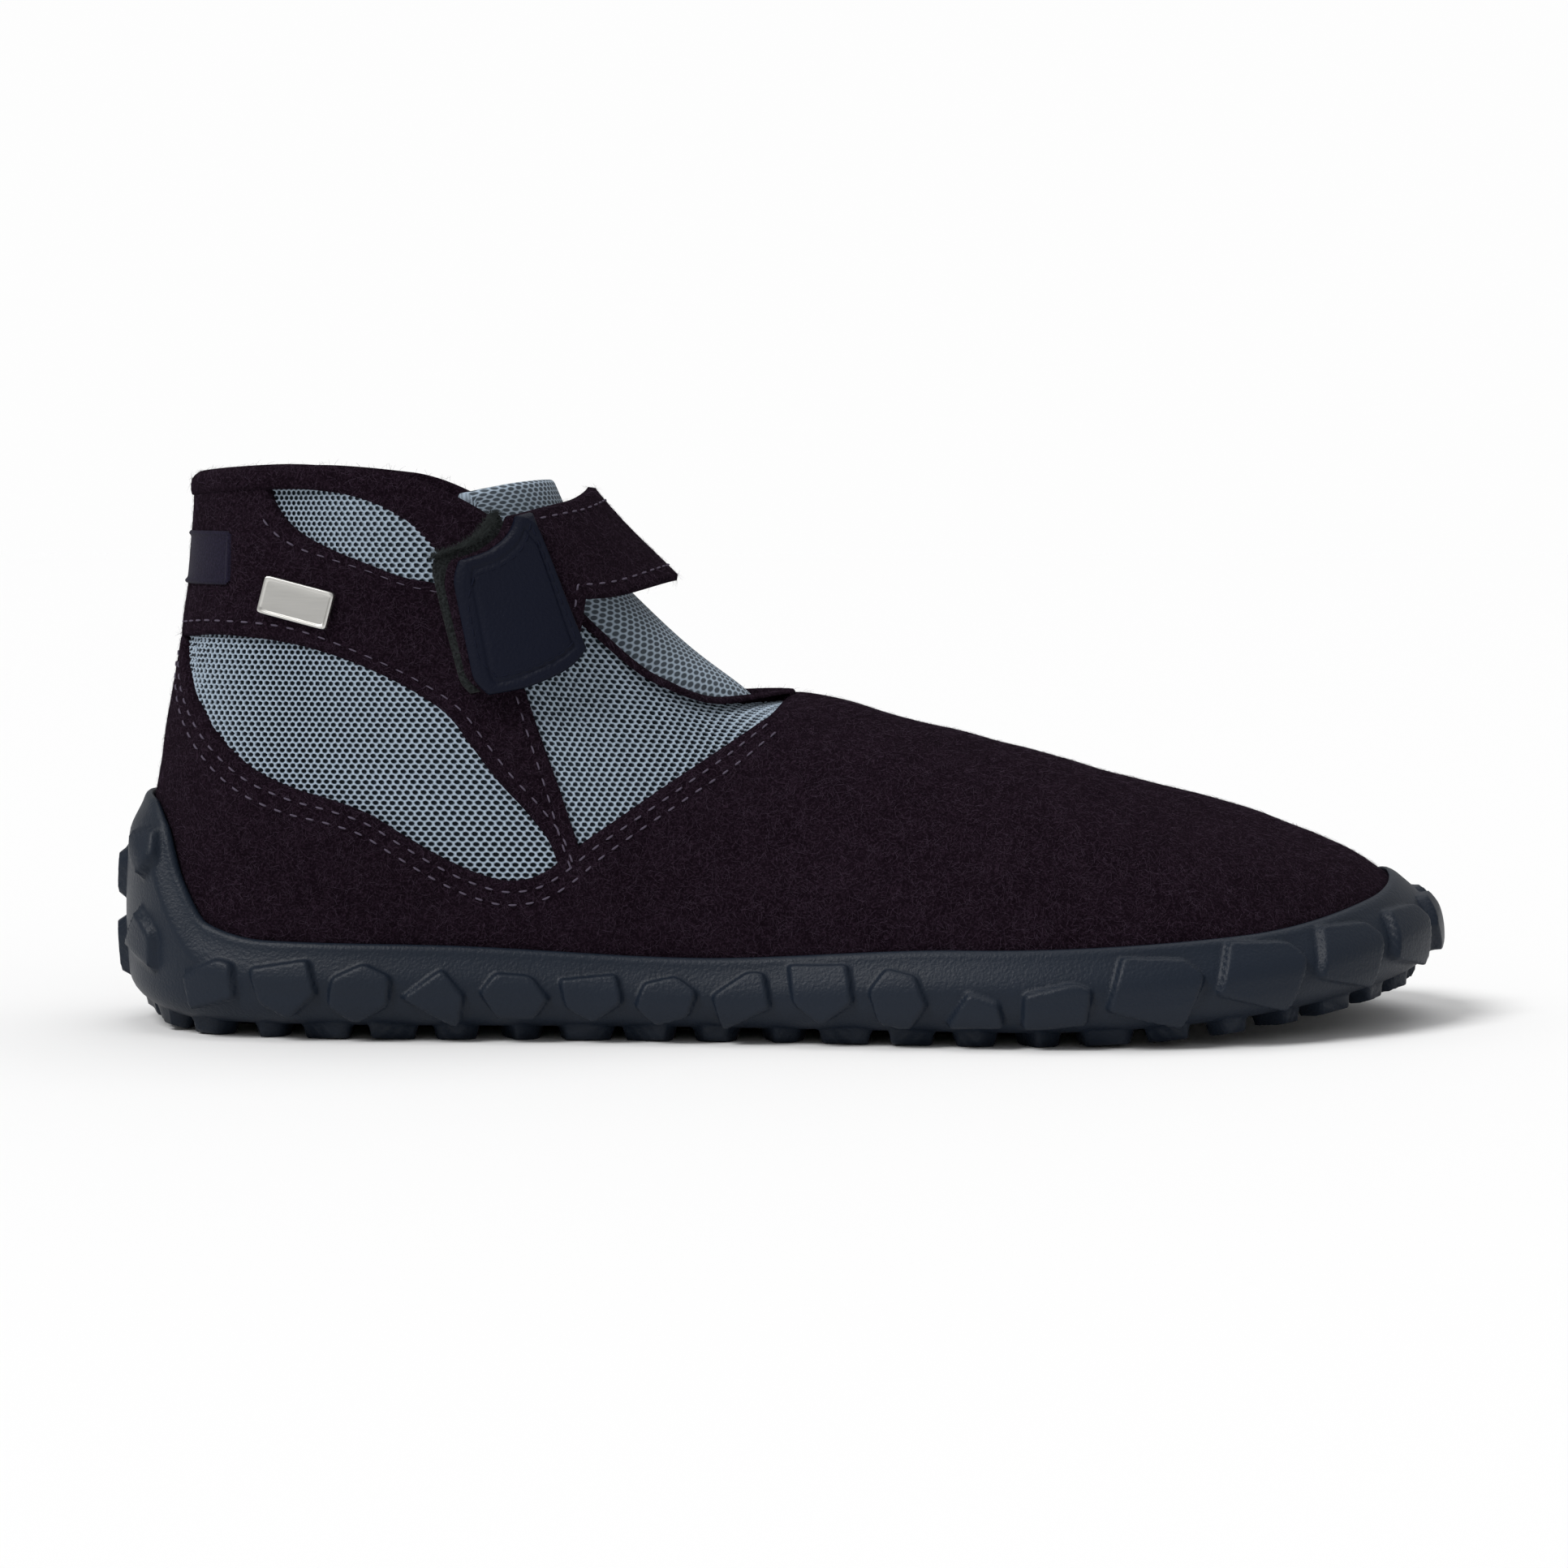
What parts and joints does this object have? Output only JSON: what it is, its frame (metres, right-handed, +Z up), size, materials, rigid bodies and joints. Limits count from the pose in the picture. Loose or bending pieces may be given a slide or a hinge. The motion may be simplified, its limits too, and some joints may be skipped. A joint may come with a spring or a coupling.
{
  "type": "children's wool sneaker",
  "caption": "Right children's barefoot sneaker: felt upper with recessed mesh windows, strap over a mesh tongue, lugged rubber cup sole with heel cup and toe bumper.",
  "frame": {"origin": "on the floor, under the middle of the shoe's bounding box", "axes": "+X from heel to toe, +Y to the inner side of the foot, +Z up"},
  "size_m": [0.1928, 0.079, 0.0794],
  "materials": {
    "navy_rubber": "matt, finely grained, dark slate navy",
    "wool_felt": "fuzzy wool felt, dark plum",
    "lining": "matt knitted lining, dark grey",
    "mesh_knit": "air mesh, light steel blue",
    "hook_pile": "matt hook-and-loop pile, dark grey",
    "tip_rubber": "satin, navy",
    "patch_fabric": "matt woven patch, dark blue-violet",
    "nickel": "satin silver"
  },
  "bodies": {
    "root": {"outsole": "navy_rubber", "upper": "wool_felt", "insole": "lining", "tongue": "mesh_knit", "strap": "wool_felt", "hook_pad": "hook_pile", "strap_tip": "tip_rubber", "heel_patch": "patch_fabric", "badge": "nickel"}
  },
  "joints": []
}
